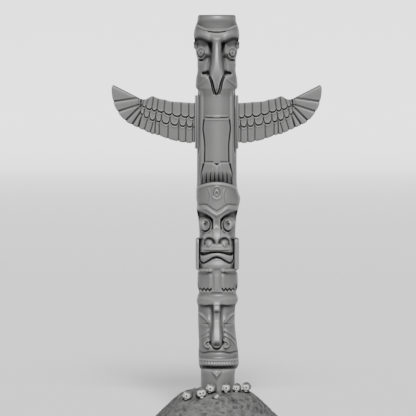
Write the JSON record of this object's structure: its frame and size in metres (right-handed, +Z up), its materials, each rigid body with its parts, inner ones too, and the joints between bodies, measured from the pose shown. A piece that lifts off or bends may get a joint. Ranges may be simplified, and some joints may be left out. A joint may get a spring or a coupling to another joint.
{
  "type": "totem pole",
  "caption": "Carved cedar totem pole: winged bird with hooked beak above a snub-nosed beast and a long-nosed man, its foot in a stone mound with small stone skulls.",
  "frame": {"origin": "on the ground, at the middle of the mound's flat underside", "axes": "+Z up the pole; the bird's beak and all three faces look along -Y; the wings spread along X, wing_right towards +X"},
  "size_m": [3.6986, 2.31, 7.176],
  "materials": {
    "cedar_log": "weathered",
    "cedar_board": "weathered",
    "cedar_cleat": "weathered",
    "mound_stone": "rough",
    "skull_stone": "rough"
  },
  "bodies": {
    "root": {"pole": "cedar_log", "wing_left": "cedar_board", "wing_right": "cedar_board", "wing_cleat_left": "cedar_cleat", "wing_cleat_right": "cedar_cleat", "mound": "mound_stone", "skull_1": "skull_stone", "skull_2": "skull_stone", "skull_3": "skull_stone", "skull_4": "skull_stone", "skull_5": "skull_stone", "skull_6": "skull_stone", "skull_7": "skull_stone"}
  },
  "joints": []
}
